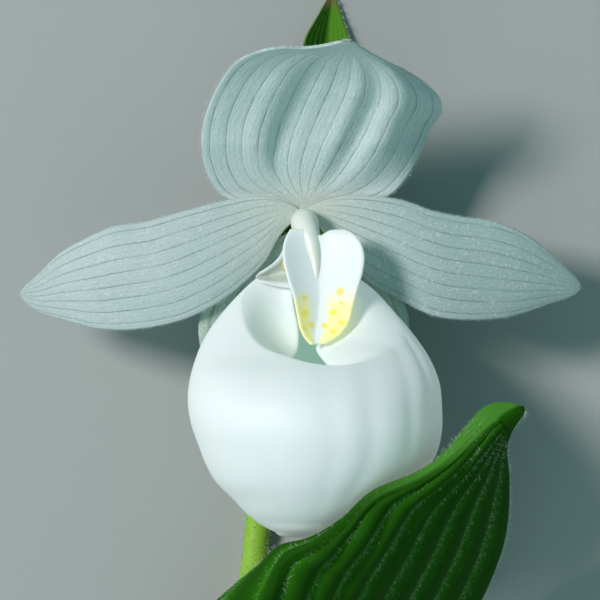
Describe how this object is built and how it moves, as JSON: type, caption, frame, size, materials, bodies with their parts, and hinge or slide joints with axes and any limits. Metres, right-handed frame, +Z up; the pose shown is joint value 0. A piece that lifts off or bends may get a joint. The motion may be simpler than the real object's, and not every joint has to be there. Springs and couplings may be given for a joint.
{
  "type": "cut lady's slipper orchid stem",
  "caption": "Cut orchid stem laid down: a slipper-shaped pouch with hooded sepal, spread petals, spotted shield, keeled bract and a pleated leaf.",
  "frame": {"origin": "on the surface that the stem lies on, under the middle of the part's box", "axes": "+Z up, the way the flower faces; +Y from the stem's cut end towards the flower and the bract's tip; +X to the right as the flower is seen from above"},
  "size_m": [0.0804, 0.1566, 0.0489],
  "materials": {
    "stem_green": "satin",
    "bract_green": "satin",
    "leaf_green": "satin",
    "petal_white": "satin",
    "sepal_back": "satin",
    "pouch_white": "satin",
    "column_cream": "satin",
    "shield_white": "satin",
    "pollen": "matte"
  },
  "bodies": {
    "root": {"stem": "stem_green", "ovary": "stem_green", "bract": "bract_green", "leaf": "leaf_green", "dorsal_sepal": "petal_white", "synsepal": "sepal_back", "petal_left": "petal_white", "petal_right": "petal_white", "pouch": "pouch_white", "column": "column_cream", "staminode": "shield_white", "stigma": "column_cream", "anther_left": "pollen", "anther_right": "pollen"}
  },
  "joints": []
}
